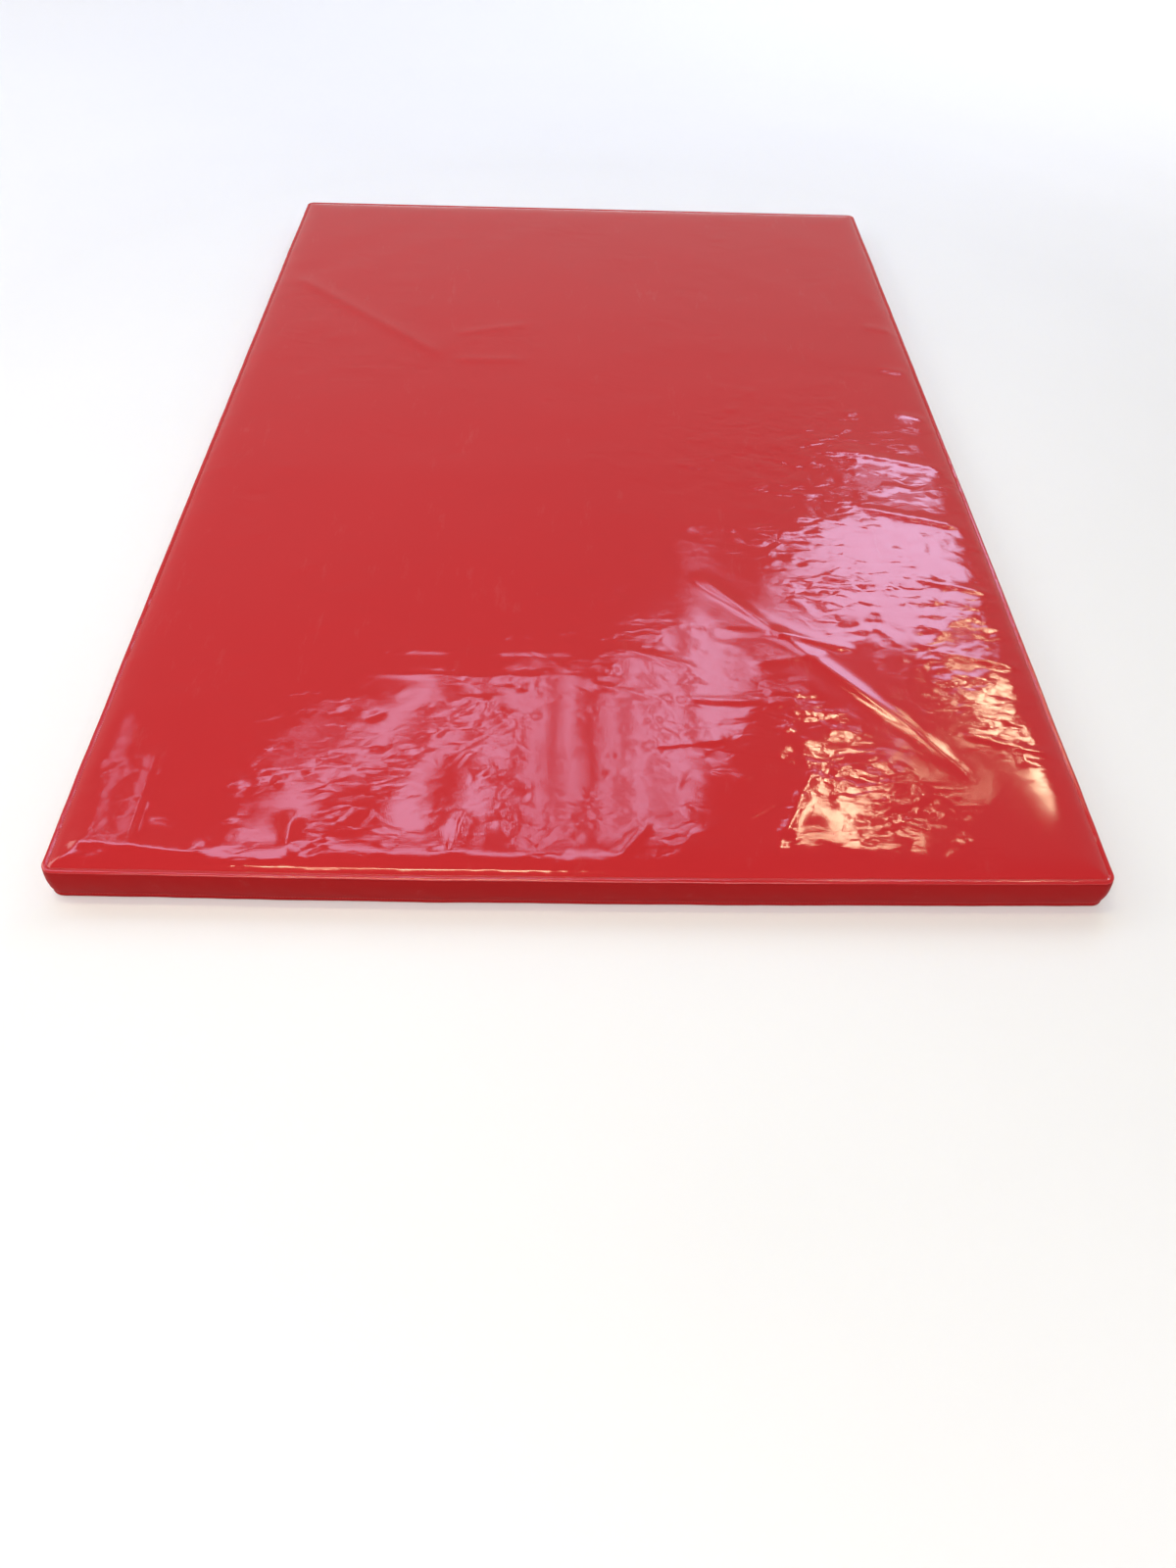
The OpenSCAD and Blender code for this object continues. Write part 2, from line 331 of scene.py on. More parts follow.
def make(name, points, faces, material, body="mat", replaces=(), slot=None):
    mesh = bpy.data.meshes.new(name)
    mesh.from_pydata((np.asarray(points, float) * MM).tolist(), [], faces)
    mesh.polygons.foreach_set("use_smooth", [True] * len(mesh.polygons))
    mesh.materials.append(material)
    mesh.update()
    obj = bpy.data.objects.new(name, mesh)
    bpy.context.scene.collection.objects.link(obj)
    return finish_piece(obj, body, replaces)


def finish_piece(obj, body, replaces):
    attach(obj, body)
    if replaces:
        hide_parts(*replaces)
    return obj


def tidy(obj, weld=1e-6):
    """Welds doubled vertices and turns every face outward."""
    bm = bmesh.new()
    bm.from_mesh(obj.data)
    bmesh.ops.remove_doubles(bm, verts=bm.verts, dist=weld)
    bmesh.ops.recalc_face_normals(bm, faces=bm.faces)
    bm.to_mesh(obj.data)
    bm.free()
    return obj


def axis(half, edge, spans):
    """Grid lines across the mat: the edge's own at both ends, and evenly spaced ones in each span."""
    inner = [np.arange(a, b - step / 2, (b - a) / round((b - a) / step)) for a, b, step in spans]
    inner = np.concatenate(inner + [[spans[-1][1]]])
    edge = np.array([e for e in edge if half - e > inner[-1] + 0.5])
    return np.concatenate([-half + edge, inner, (half - edge)[::-1]])


def panel(xs, ys, section):
    """Points over the mat's rounded outline. section gives (position in, inset, height), inward."""
    x, y = np.meshgrid(xs, ys, indexing="ij")
    u, v = CORNER - HALF_W + np.abs(x), CORNER - HALF_L + np.abs(y)
    inside = np.minimum(HALF_W - np.abs(x), HALF_L - np.abs(y))
    where = np.array([s[0] for s in section])
    inset = np.interp(inside, where, [s[1] for s in section])
    inset = np.where(inside > where[-1], inside, inset)
    corner = (u > 0) & (v > 0)
    big, small = np.maximum(u, v), np.minimum(u, v)
    angle = math.pi / 4 * np.where(corner, small / np.where(big > 0, big, 1), 0)
    radius = CORNER - inset
    major, minor = radius * np.cos(angle), radius * np.sin(angle)
    px = np.where(corner, HALF_W - CORNER + np.where(u >= v, major, minor), np.abs(x))
    py = np.where(corner, HALF_L - CORNER + np.where(u >= v, minor, major), np.abs(y))
    px = np.where(~corner & (u > 0) & (inside <= where[-1]), HALF_W - inset, px)
    py = np.where(~corner & (v > 0) & (inside <= where[-1]), HALF_L - inset, py)
    z = np.interp(inside, where, [s[2] for s in section])
    return np.sign(x) * px, np.sign(y) * py, z, inset


def grid_faces(nx, ny, start=0, flip=False):
    k = start + np.arange(nx * ny).reshape(nx, ny)
    quads = np.stack([k[:-1, :-1], k[1:, :-1], k[1:, 1:], k[:-1, 1:]], -1).reshape(-1, 4)
    return (quads[:, ::-1] if flip else quads).tolist()


def rim(nx, ny, start=0):
    """The grid's outer vertices in order round it."""
    k = start + np.arange(nx * ny).reshape(nx, ny)
    return np.concatenate([k[:-1, 0], k[-1, :-1], k[:0:-1, -1], k[0, :0:-1]])


def bridge(points, a, b):
    """Triangles between two closed rings of vertices that start side by side."""

    def ways(ring):
        p = points[np.append(ring, ring[0])]
        w = np.concatenate([[0], np.cumsum(np.linalg.norm(np.diff(p, axis=0), axis=1))])
        return w / w[-1]

    wa, wb, i, j, faces = ways(a), ways(b), 0, 0, []
    while i < len(a) or j < len(b):
        if j >= len(b) or (i < len(a) and wa[i + 1] <= wb[j + 1]):
            faces.append([a[i % len(a)], b[j % len(b)], a[(i + 1) % len(a)]])
            i += 1
        else:
            faces.append([a[i % len(a)], b[j % len(b)], b[(j + 1) % len(b)]])
            j += 1
    return [[int(v) for v in f] for f in faces]


def outline(step):
    """Points and outward directions round the mat, from the middle of the back, left side first."""
    w, l, r = HALF_W, HALF_L, CORNER
    points, normals = [], []
    sides = [
        ((0, l), (-w + r, l), (0, 1)), ((-w, l - r), (-w, -l + r), (-1, 0)),
        ((-w + r, -l), (w - r, -l), (0, -1)), ((w, -l + r), (w, l - r), (1, 0)),
        ((w - r, l), (0, l), (0, 1)),
    ]
    for n, (a, b, normal) in enumerate(sides):
        count = max(2, round(math.dist(a, b) / step))
        for i in range(count + 1):
            t = i / count
            points.append((a[0] + (b[0] - a[0]) * t, a[1] + (b[1] - a[1]) * t))
            normals.append(normal)
        if n < 4:
            turn = math.atan2(normal[1], normal[0])
            centre = (b[0] - normal[0] * r, b[1] - normal[1] * r)
            for i in range(1, 9):
                angle = turn + math.pi / 2 * i / 9
                normals.append((math.cos(angle), math.sin(angle)))
                points.append((centre[0] + r * math.cos(angle), centre[1] + r * math.sin(angle)))
    return np.array(points, float), np.array(normals, float)


def spaced(points, pitch, *others):
    """The polyline's points again, pitch apart, with the same steps taken along each of the others."""
    way = np.concatenate([[0], np.cumsum(np.linalg.norm(np.diff(points, axis=0), axis=1))])
    count = max(1, round(way[-1] / pitch))
    at = np.linspace(0, way[-1], count + 1)
    return [np.stack([np.interp(at, way, a[:, k]) for k in range(a.shape[1])], 1) for a in (points, *others)]


def sweep(name, points, normals, section, material, thick=SHEET, bulge=None, **how):
    """A strip of fabric along a path: section gives (outward, height), and its back lies thick behind."""
    out = np.array([s[0] for s in section])
    z = np.array([s[1] for s in section])
    # direction across the fabric, from the section's own run
    run = np.gradient(np.stack([out, z], 1), axis=0)
    run /= np.linalg.norm(run, axis=1)[:, None]
    ring_z = np.concatenate([z, (z + thick * run[:, 0] * 0.6)[::-1]])
    if bulge is None:
        bulge = np.ones(len(points))
    front = bulge[:, None] * np.maximum(out, 0)[None, :] + np.minimum(out, 0)[None, :]
    o = np.concatenate([front, (front - thick * np.abs(run[:, 1]))[:, ::-1]], axis=1)
    p = np.empty((*o.shape, 3))
    p[..., :2] = points[:, None, :] + normals[:, None, :] * o[..., None]
    p[..., 2] = ring_z[None, :]
    dents = 0.7 * noise((p[..., 0] + p[..., 1]) / 60, p[..., 2] / 30, 11)
    dents += 0.55 * noise((p[..., 0] - p[..., 1] + 0.6 * p[..., 2]) / 17, p[..., 2] / 26, 14)
    middle = smooth((ring_z - 9) / 10) * smooth((44 - ring_z) / 8)
    p[..., :2] += normals[:, None, :] * (dents * middle * bulge[:, None])[..., None]
    p = warp(p)
    n, m = p.shape[:2]
    k = np.arange(n * m).reshape(n, m)
    nxt = np.roll(k, -1, axis=1)
    quads = np.stack([k[:-1], nxt[:-1], nxt[1:], k[1:]], -1).reshape(-1, 4).tolist()
    caps = [k[0].tolist(), k[-1][::-1].tolist()]
    return tidy(make(name, p.reshape(-1, 3), quads + caps, material, **how))


def stitches(name, points, ups, material, length=2.7, radius=0.3, sides=5, **how):
    """A row of single thread stitches: each rises out of the fabric, lies along the row and dips back in."""
    mid, up = (points[:-1] + points[1:]) / 2, (ups[:-1] + ups[1:]) / 2
    way = points[1:] - points[:-1]
    way /= np.linalg.norm(way, axis=1)[:, None]
    across = np.cross(way, up)
    across /= np.linalg.norm(across, axis=1)[:, None]
    # each ring's place along the stitch, size and lift
    rings = [
        (-0.5, 0.35, -0.45), (-0.42, 0.8, -0.12), (-0.2, 1.0, 0.08),
        (0.2, 1.0, 0.08), (0.42, 0.8, -0.12), (0.5, 0.35, -0.45),
    ]
    turn = np.arange(sides) * 2 * math.pi / sides
    points = []
    for t, size, lift in rings:
        centre = mid + way * (t * length) + up * lift
        for a in turn:
            reach = across * (math.cos(a) * radius * size)
            points.append(centre + reach + up * (math.sin(a) * radius * size))
    p = np.stack(points, 1)
    count, per = p.shape[:2]
    k = np.arange(per).reshape(len(rings), sides)
    nxt = np.roll(k, -1, axis=1)
    one = np.stack([k[:-1], nxt[:-1], nxt[1:], k[1:]], -1).reshape(-1, 4).tolist()
    one += [k[0][::-1].tolist(), k[-1].tolist()]
    faces = [[v + i * per for v in f] for i in range(count) for f in one]
    return make(name, p.reshape(-1, 3), faces, material, **how)


# ---------------------------------------------------------------- materials


class Graph:
    """A material's node graph, built up in code."""

    def __init__(self, name):
        self.material = bpy.data.materials.new(name)
        self.material.use_nodes = True
        self.tree = self.material.node_tree
        self.tree.nodes.clear()
        self.coords = self.add("ShaderNodeTexCoord").outputs["Object"]

    def add(self, kind, inputs=None, **settings):
        node = self.tree.nodes.new(kind)
        for key, value in settings.items():
            setattr(node, key, value)
        for key, value in (inputs or {}).items():
            if isinstance(value, bpy.types.NodeSocket):
                self.tree.links.new(value, node.inputs[key])
            else:
                node.inputs[key].default_value = value
        return node

    def math(self, operation, *values):
        node = self.add("ShaderNodeMath", dict(enumerate(values)), operation=operation)
        return node.outputs[0]

    def total(self, *values):
        result = values[0]
        for value in values[1:]:
            result = self.math("ADD", result, value)
        return result

    def stretch(self, scale):
        return self.add("ShaderNodeMapping", {"Vector": self.coords, "Scale": scale}).outputs[0]

    def noise(self, scale, detail=2.0, roughness=0.5, vector=None):
        inputs = {"Vector": vector or self.coords, "Scale": scale, "Detail": detail, "Roughness": roughness}
        return self.add("ShaderNodeTexNoise", inputs).outputs["Fac"]

    def spread(self, value, low, high, to_low=0.0, to_high=1.0):
        inputs = {"Value": value, "From Min": low, "From Max": high, "To Min": to_low, "To Max": to_high}
        return self.add("ShaderNodeMapRange", inputs).outputs[0]

    def mix(self, factor, a, b):
        node = self.add("ShaderNodeMix", {"Factor": factor}, data_type="RGBA")
        for socket, value in zip([s for s in node.inputs if s.type == "RGBA"], (a, b)):
            if isinstance(value, bpy.types.NodeSocket):
                self.tree.links.new(value, socket)
            else:
                socket.default_value = (*value, 1)
        return next(s for s in node.outputs if s.type == "RGBA")

    def vector(self, operation, *values, output=0):
        return self.add("ShaderNodeVectorMath", dict(enumerate(values)), operation=operation).outputs[output]

    def facets(self, vector, scale, slope, shape):
        """Height in millimetres of a skin broken into small flat facets, each tilted its own way."""
        placed = self.add("ShaderNodeMapping", {"Vector": vector, "Scale": (shape, 1.0, 1.0)}).outputs[0]
        flat = {"voronoi_dimensions": "2D"}
        cell = self.add("ShaderNodeTexVoronoi", {"Vector": placed, "Scale": scale}, **flat).outputs
        flat["feature"] = "DISTANCE_TO_EDGE"
        edge = self.add("ShaderNodeTexVoronoi", {"Vector": placed, "Scale": scale}, **flat)
        tilt = self.vector("SUBTRACT", cell["Color"], (0.5, 0.5, 0.5))
        away = self.vector("SUBTRACT", placed, cell["Position"])
        rise = self.vector("DOT_PRODUCT", away, tilt, output="Value")
        inside = self.spread(edge.outputs["Distance"], 0.0, 0.22)
        return self.math("MULTIPLY", self.math("MULTIPLY", rise, slope / MM), inside)

    def surface(self, color, roughness, height, **sockets):
        """height is in millimetres."""
        bump = self.add("ShaderNodeBump", {"Height": height, "Distance": MM, "Strength": 1.0})
        inputs = {"Base Color": color, "Roughness": roughness, "Normal": bump.outputs[0], **sockets}
        shader = self.add("ShaderNodeBsdfPrincipled", inputs)
        self.add("ShaderNodeOutputMaterial", {"Surface": shader.outputs[0]})
        return self.material


# Flat facets between fine creases: cells per metre, slope, and how much longer they are across the mat
FACETS = ((24.0, 0.028, 0.55), (62.0, 0.016, 0.5))


def vinyl(name, color, gloss, scrim_across, specular=0.5, creased=False):
    """Coated fabric: a smooth skin that shows a little of the weave under it, with scuffs and dust.

    The weave's second set of threads runs along scrim_across. A creased vinyl is also broken into flat
    facets, by as much as the mesh's crumple attribute says.
    """
    g = Graph(name)
    split = g.add("ShaderNodeSeparateXYZ", {"Vector": g.coords})
    x, y, z = split.outputs
    pitch = 2 * math.pi / (1.9 * MM)
    first = g.math("SINE", g.math("MULTIPLY", g.math("ADD", x, y) if scrim_across == "z" else x, pitch))
    second = g.math("SINE", g.math("MULTIPLY", z if scrim_across == "z" else y, pitch))
    weave = g.math("MULTIPLY", g.math("ADD", first, second), 0.0020)
    skin = g.math("MULTIPLY", g.noise(90, 2.0), 0.014)
    fine = g.math("MULTIPLY", g.noise(60, 3.0, 0.6), 0.05)
    if creased:
        ripple = {"Vector": g.coords, "Scale": 18.0, "Detail": 3.0}
        wander = g.add("ShaderNodeTexNoise", ripple).outputs["Color"]
        bent = g.vector("ADD", g.coords, g.vector("MULTIPLY", wander, (0.03, 0.03, 0.0)))
        amount = g.add("ShaderNodeAttribute", attribute_name="crumple").outputs["Fac"]
        patchy = g.spread(g.noise(8, 3.0, 0.6), 0.42, 0.62, 0.15, 1.0)
        rumple = g.total(*(g.facets(bent, *shape) for shape in FACETS))
        fine = g.math("MULTIPLY", g.math("MULTIPLY", rumple, amount), patchy)
    patches = g.noise(2.2, 4.0, 0.6)
    scuffs = g.spread(g.noise(30, 6.0, 0.75, g.stretch((1.0, 0.25, 1.0))), 0.6, 0.78)
    tone = g.mix(g.spread(patches, 0.3, 0.7, 0.0, 0.16), color, tuple(c * 0.82 for c in color))
    dusty = g.mix(g.math("MULTIPLY", scuffs, 0.05), tone, (0.75, 0.45, 0.42))
    rough = g.total(g.spread(patches, 0.25, 0.75, gloss, gloss + 0.03), g.math("MULTIPLY", scuffs, 0.08))
    return g.surface(dusty, rough, g.total(weave, skin, fine), **{"Specular IOR Level": specular})


def cloth_tape(name, color):
    g = Graph(name)
    x, y, z = g.add("ShaderNodeSeparateXYZ", {"Vector": g.coords}).outputs
    pitch = 2 * math.pi / (0.9 * MM)
    rib = g.math("SINE", g.math("MULTIPLY", g.math("ADD", x, z), pitch))
    cross = g.math("SINE", g.math("MULTIPLY", g.math("SUBTRACT", x, z), pitch * 0.5))
    height = g.math("MULTIPLY", g.math("ADD", rib, cross), 0.03)
    tone = g.mix(g.noise(600, 2.0), color, tuple(c * 1.8 + 0.01 for c in color))
    return g.surface(tone, 0.8, height, **{"Sheen Weight": 0.15})


def thread(name, color):
    g = Graph(name)
    twist = g.noise(900, 1.0, 0.5, g.stretch((1.0, 1.0, 2.0)))
    tone = g.mix(g.noise(80, 2.0), color, tuple(c * 0.8 for c in color))
    return g.surface(tone, 0.45, g.math("MULTIPLY", twist, 0.12), **{"Sheen Weight": 0.1})


def moulded(name, color, roughness):
    g = Graph(name)
    tone = g.mix(g.noise(300, 2.0), color, tuple(c * 1.6 for c in color))
    rough = g.spread(g.noise(200, 3.0), 0.3, 0.7, roughness, roughness + 0.12)
    return g.surface(tone, rough, g.math("MULTIPLY", g.noise(1500, 2.0), 0.02))


def metal(name, color, roughness):
    g = Graph(name)
    brushed = g.noise(900, 3.0, 0.6, g.stretch((0.08, 1.0, 1.0)))
    wear = g.noise(160, 4.0, 0.6)
    tone = g.mix(g.spread(wear, 0.45, 0.75, 0.0, 0.5), color, tuple(c * 0.55 for c in color))
    rough = g.spread(wear, 0.3, 0.7, roughness, roughness + 0.15)
    return g.surface(tone, rough, g.math("MULTIPLY", brushed, 0.03), Metallic=1.0)


def foam(name, color, cell):
    g = Graph(name)
    cells = g.add("ShaderNodeTexVoronoi", {"Vector": g.coords, "Scale": 1 / (cell * MM)})
    tone = g.mix(g.spread(cells.outputs["Distance"], 0.0, 0.8), tuple(c * 0.7 for c in color), color)
    height = g.math("MULTIPLY", cells.outputs["Distance"], -0.4 * cell)
    return g.surface(tone, 0.9, height)


def painted_floor(name, color):
    """A pale floor that glows a little far from the mat, where the lights don't reach it."""
    g = Graph(name)
    tone = g.mix(g.spread(g.noise(1.5, 4.0), 0.35, 0.65), color, tuple(c * 0.985 for c in color))
    flat = g.vector("MULTIPLY", g.coords, (1.0, 1.0, 0.0))
    glow = g.spread(g.vector("LENGTH", flat, output="Value"), 1.3, 8.0, 0.0, 0.95)
    sockets = {"Emission Color": (1.0, 0.99, 0.98, 1), "Emission Strength": glow}
    return g.surface(tone, 0.7, g.math("MULTIPLY", g.noise(60, 3.0), 0.05), **sockets)


TOP_VINYL = vinyl("landing_vinyl", (0.505, 0.0215, 0.0245), 0.045, "y", specular=0.55, creased=True)
# The border is the top's red vinyl with a darker red: painted shade, standing in for the shade its upright
# sides lie in.
SHADED_SIDE_VINYL = vinyl("border_vinyl", (0.32, 0.0105, 0.0115), 0.36, "z", specular=0.03)
# The base is the same red vinyl with a darker red too: painted shade for its edge, which curves under the
# mat.
SHADED_BASE_VINYL = vinyl("base_vinyl", (0.34, 0.013, 0.015), 0.38, "y", specular=0.3)
RED_THREAD = thread("thread", (0.62, 0.06, 0.05))
TAPE = cloth_tape("zip_tape", (0.012, 0.012, 0.014))
NYLON = moulded("zip_nylon", (0.014, 0.014, 0.016), 0.3)
STEEL = metal("zip_steel", (0.62, 0.62, 0.63), 0.24)
CORE_FOAM = foam("core_foam", (0.16, 0.17, 0.19), 1.6)
SOFT_FOAM = foam("landing_foam", (0.80, 0.79, 0.72), 1.1)

# ---------------------------------------------------------------- camera

camera = bpy.data.objects.new("camera", bpy.data.cameras.new("camera"))
bpy.context.scene.collection.objects.link(camera)
camera.data.lens = 24.4
camera.data.sensor_width = 36
look = Matrix.Translation((-0.022, -1.609, 1.030))
for degrees, about in ((-1.9, "Z"), (40.3, "X"), (2.16, "Z")):
    look = look @ Matrix.Rotation(math.radians(degrees), 4, about)
camera.matrix_world = look
bpy.context.scene.camera = camera

# ---------------------------------------------------------------- top panel

ROLL_START, ROLL_DROP, ROLL_LENGTH, CROWN = 7.0, 3.6, 12.0, 1.5


def crowned(x, y, inset):
    """The stuffed top away from its seam: a soft roll over the foam's edge, then nearly flat."""
    roll = ROLL_DROP * np.exp(-(inset - ROLL_START) / ROLL_LENGTH)
    crown = CROWN * (1 - (x / HALF_W) ** 2) * (1 - (y / HALF_L) ** 2)
    return TOP_EDGE[9][2] + 0.6 + ROLL_DROP - roll + crown


def hem(x, y):
    """How far the sewn edge rises and dips where its stitches pull unevenly."""
    return 0.30 * noise(x / 16, y / 16, 9) + 0.45 * noise(x / 48, y / 48, 10)


def top_points(xs, ys):
    x, y, z, inset = panel(xs, ys, TOP_EDGE)
    blend = smooth((inset - 7.5) / 5)
    z = z * (1 - blend) + crowned(x, y, inset) * blend
    settled = slack_cover(xs, ys) * (0.025 + 0.11 * crumple(x, y) ** 2)
    z += (relief(x, y, xs, ys) + settled) * smooth((inset - 7.5) / 24)
    z += hem(x, y) * smooth((inset - 0.5) / 4) * smooth((34 - inset) / 22)
    return np.stack([x, y, z], -1)


edge_lines = [s[0] for s in TOP_EDGE] + [10.5, 12.2, 14, 16, 18.5, 21.5, 25, 29, 33.5]
xs = axis(HALF_W, edge_lines, [(-572, -120, 6.0), (-120, 572, 4.4)])
ys = axis(HALF_L, edge_lines, [(-877, -350, 4.0), (-350, 200, 5.5), (200, 877, 9.0)])
fine = top_points(xs, ys)
UNDER_EDGE = [(0.0, 1.6, 44.5), (3.0, 4.0, 45.4), (9.0, 10.0, 46.0)]
under_xs = axis(HALF_W, [0, 3, 9, 22], [(-570, 570, 38)])
under_ys = axis(HALF_L, [0, 3, 9, 22], [(-875, 875, 38)])
ux, uy, uz, ui = panel(under_xs, under_ys, UNDER_EDGE)
blend = smooth((ui - 8) / 8)
uz = uz * (1 - blend) + (crowned(ux, uy, ui) - 2.0) * blend
under = np.stack([ux, uy, uz], -1)
points = np.concatenate([fine.reshape(-1, 3), under.reshape(-1, 3)])
nf = len(xs) * len(ys)
faces = grid_faces(len(xs), len(ys)) + grid_faces(len(under_xs), len(under_ys), nf, flip=True)
faces += bridge(points, rim(len(xs), len(ys)), rim(len(under_xs), len(under_ys), nf))
top = make("top_panel_vinyl", warp(points), faces, TOP_VINYL, replaces=["top_panel"], slot="landing_vinyl")
attribute = top.data.attributes.new("crumple", "FLOAT", "POINT")
attribute.data.foreach_set("value", crumple(points[:, 0], points[:, 1]).astype(np.float32))

# ---------------------------------------------------------------- border, base and gusset

ring, ring_out = outline(5.0)
# the border runs from one lap on the back round to the other
on_back = ring[:, 1] > HALF_L - 0.01
keep = ~(on_back & (np.abs(ring[:, 0]) < WINDOW_HALF))
first = np.array([[-WINDOW_HALF, HALF_L]])
last = np.array([[WINDOW_HALF, HALF_L]])
path = np.concatenate([first, ring[keep], last])
path_out = np.concatenate([[[0, 1]], ring_out[keep], [[0, 1]]])
bulge = smooth((HALF_L - 40 - path[:, 1]) / 120)
border = sweep(
    "border_vinyl", path, path_out, BORDER_OUT, SHADED_SIDE_VINYL, bulge=bulge,
    replaces=["border_strip"], slot="border_vinyl",
)

BASE_OUT = [(0.0, 1.9, 1.15), (1.5, 2.4, 0.35), (4.0, 5.0, 0.05), (9.0, 9.0, 0.0)]
BASE_IN = [(0.0, 1.9, 1.15), (1.5, 3.0, 1.3), (4.0, 5.0, 0.9), (9.0, 9.0, 0.75)]
base_xs = axis(HALF_W, [0, 1.5, 4, 9, 14, 22], [(-570, 570, 20)])
base_ys = axis(HALF_L, [0, 1.5, 4, 9, 14, 22], [(-875, 875, 20)])
sheets = []
for section in (BASE_OUT, BASE_IN):
    bx, by, bz, _ = panel(base_xs, base_ys, section)
    sheets.append(np.stack([bx, by, bz], -1).reshape(-1, 3))
count = len(base_xs) * len(base_ys)
faces = grid_faces(len(base_xs), len(base_ys), flip=True) + grid_faces(len(base_xs), len(base_ys), count)
points = warp(np.concatenate(sheets))
base = tidy(make("base_panel_vinyl", points, faces, SHADED_BASE_VINYL, replaces=["base_panel"], slot="base_vinyl"))

straight = np.stack([np.linspace(-GUSSET_HALF, GUSSET_HALF, 225), np.full(225, FACING_Y)], 1)
straight_out = np.tile([0.0, 1.0], (225, 1))
UPPER = [
    (-0.6, 44.3), (-0.2, 43.9), (0.0, 43.0), (0.05, 40.0), (0.0, 37.0), (-0.05, 36.4), (-0.2, 36.0),
    (-0.05, 35.6), (0.0, 35.0), (0.0, 33.8), (-0.15, 33.2), (-0.6, 33.0), (-1.1, 33.2),
    (-1.3, 34.0), (-1.3, 38.5),
]
LOWER = [
    (-1.3, 11.5), (-1.3, 16.0), (-1.1, 16.8), (-0.6, 17.0), (-0.15, 16.8), (0.0, 16.2), (0.0, 14.6),
    (-0.2, 14.0), (0.0, 13.4), (0.0, 9.0), (-0.1, 8.4), (-0.2, 8.0), (-0.1, 7.6), (0.0, 7.0), (0.0, 3.5),
    (-0.3, 2.0), (-1.0, 1.2),
]
facing_upper = sweep(
    "zip_facing_upper_vinyl", straight, straight_out, UPPER, SHADED_SIDE_VINYL, thick=0.5,
    replaces=["zip_facing_upper"], slot="border_vinyl",
)
facing_lower = sweep(
    "zip_facing_lower_vinyl", straight, straight_out, LOWER, SHADED_SIDE_VINYL, thick=0.5,
    replaces=["zip_facing_lower"], slot="border_vinyl",
)

# ---------------------------------------------------------------- foam


def foam_block(name, inset, low, high, round_low, round_high, material, back, **how):
    """A cut block of foam with softened edges, short of the back by the space behind the zip."""
    sections = []
    for edge, z, turn in ((high, high, round_high), (low, low, -round_low)):
        size = abs(turn)
        mid = (low + high) / 2
        sections.append([
            (0.0, inset, mid), (2.0, inset, z - turn), (4.0, inset + 0.3 * size, z - 0.3 * turn),
            (6.0, inset + size, z), (12.0, 12.0, z),
        ])
    bxs = axis(HALF_W, [0, 2, 4, 6, 12, 20], [(-570, 570, 30)])
    bys = axis(HALF_L, [0, 2, 4, 6, 12, 20], [(-875, 875, 30)])
    halves = []
    for section, top_side in zip(sections, (True, False)):
        fx, fy, fz, fi = panel(bxs, bys, section)
        if top_side and high > MAT_H / 2 + 15:
            blend = smooth((fi - 6) / 12)
            fz = fz * (1 - blend) + (crowned(fx, fy, fi) - 3.2) * blend
        halves.append(np.stack([fx, np.minimum(fy, back), fz], -1).reshape(-1, 3))
    n = len(bxs) * len(bys)
    faces = grid_faces(len(bxs), len(bys)) + grid_faces(len(bxs), len(bys), n, flip=True)
    return tidy(make(name, warp(np.concatenate(halves)), faces, material, **how))


foam_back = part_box("foam_core")[1].y / MM
layer_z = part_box("foam_core")[1].z / MM
core = foam_block(
    "foam_core_block", 2.6, 1.3, layer_z, 1.5, 0.6, CORE_FOAM, foam_back,
    replaces=["foam_core"], slot="core_foam",
)
layer = foam_block(
    "foam_landing_sheet", 2.6, layer_z + 0.05, 45.0, 0.6, 4.5, SOFT_FOAM, foam_back,
    replaces=["foam_landing_layer"], slot="landing_foam",
)

# ---------------------------------------------------------------- stitching


def row_round(inset, height, up_out):
    """A stitch row round the mat: its points and the directions that its stitches rise in."""
    at = np.column_stack([ring - ring_out * inset, np.full(len(ring), height)])
    up = np.column_stack([ring_out * up_out, np.full(len(ring), 1.0 - up_out)])
    at, up = spaced(at, STITCH, up)
    at[:, 2] += hem(at[:, 0], at[:, 1])
    return warp(at), up / np.linalg.norm(up, axis=1)[:, None]


at, up = row_round(TOP_ROW[0], TOP_ROW[1] + 0.15, 0.0)
stitches("top_stitches", at, up, RED_THREAD, replaces=["top_stitching"], slot="thread")

depth = bulge[:, None] * BASE_ROW[0]
at = np.column_stack([path + path_out * depth, np.full(len(path), BASE_ROW[1])])
up = np.column_stack([path_out, np.zeros(len(path))])
at, up = spaced(at, STITCH, up)
up /= np.linalg.norm(up, axis=1)[:, None]
stitches("base_stitches", warp(at), up, RED_THREAD, replaces=["base_stitching"], slot="thread")


def straight_row(name, start, end, node):
    """A row on the mat's back side. Without a node, it goes with a row that has replaced the node already."""
    at = np.linspace(start, end, max(2, round(math.dist(start, end) / STITCH) + 1))
    backward = np.tile([0.0, 1.0, 0.0], (len(at), 1))
    stitches(name, at, backward, RED_THREAD, replaces=[node] if node else [], slot="thread")


row_y = FACING_Y - 0.15
for name, height, node in (
    ("zip_stitches_upper", 36.0, "zip_stitching_upper"),
    ("zip_stitches_lower", 14.0, "zip_stitching_lower"),
    ("base_stitches_back", BASE_ROW[1], None),
):
    straight_row(name, (-WINDOW_HALF + 1, row_y, height), (WINDOW_HALF - 1, row_y, height), node)

for side, word in ((-1, "left"), (1, "right")):
    low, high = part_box(f"join_stitching_{word}")
    for n, x in enumerate((low.x / MM + 0.3, high.x / MM - 0.3)):
        node = f"join_stitching_{word}" if n == 0 else None
        straight_row(f"join_stitches_{word}_{n + 1}", (x, HALF_L, low.z / MM), (x, HALF_L, high.z / MM), node)

# ---------------------------------------------------------------- zip


